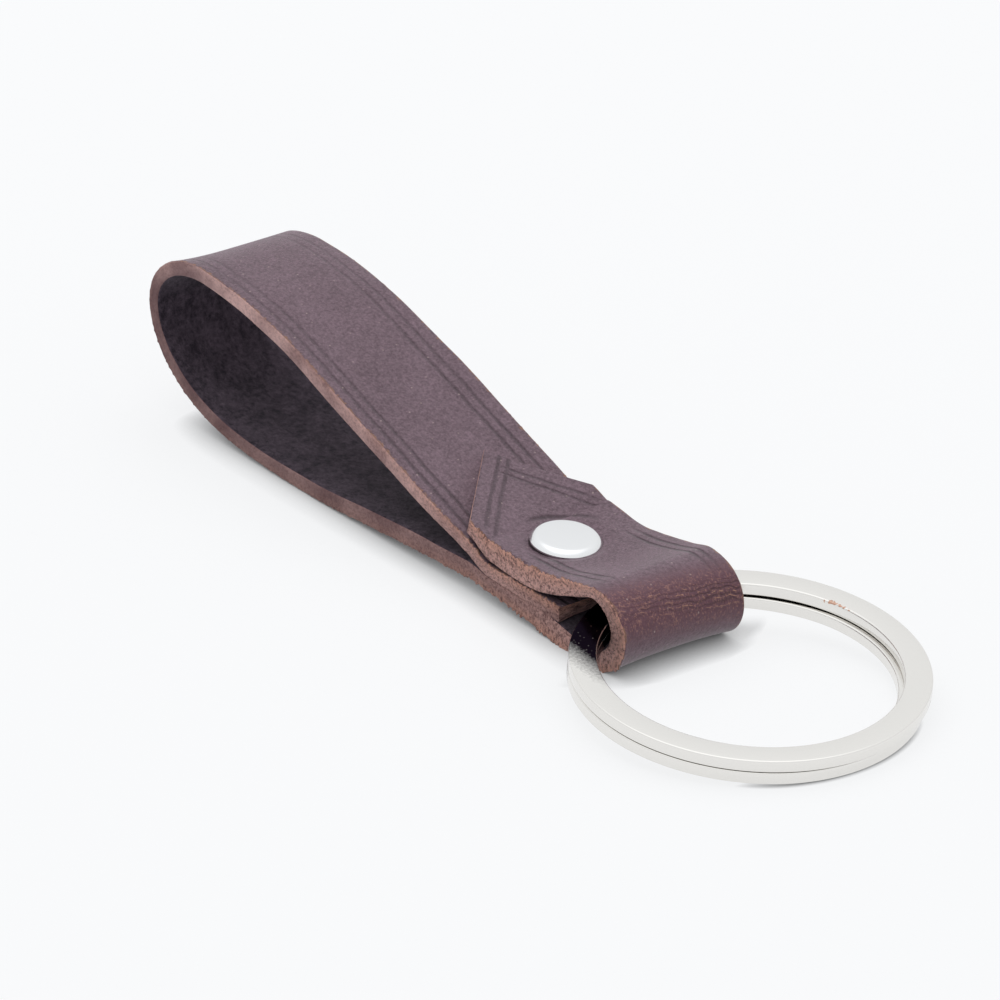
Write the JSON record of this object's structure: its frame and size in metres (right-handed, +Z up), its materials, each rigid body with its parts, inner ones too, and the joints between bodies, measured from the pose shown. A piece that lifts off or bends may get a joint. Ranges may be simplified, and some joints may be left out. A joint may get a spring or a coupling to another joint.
{
  "type": "key ring",
  "caption": "Folded leather strap key ring: a finger loop, a riveted overlap and an eye that holds a flat split ring for keys.",
  "frame": {"origin": "on the floor, under the middle of the whole object's length and width", "axes": "+X from the finger loop to the ring's far rim, +Y across the strap, +Z up from the floor that it lies on"},
  "size_m": [0.0968, 0.032, 0.0165],
  "materials": {
    "leather": "waxed grain outside, raw flesh side and raw cut edges",
    "ring_plating": "satin nickel plate",
    "rivet_plating": "bright nickel plate"
  },
  "bodies": {
    "strap_body": {"strap": "leather", "rivet_top_cap": "rivet_plating", "rivet_socket": "rivet_plating", "rivet_post": "rivet_plating", "rivet_bottom_cap": "rivet_plating"},
    "ring_body": {"split_ring": "ring_plating"}
  },
  "joints": [
    {"name": "ring_swing", "type": "hinge", "parent": "strap_body", "child": "ring_body", "pos_m": [0.01866, 0, 0.0041], "axis": [0, -1, 0], "range_deg": [-160, 165]}
  ]
}
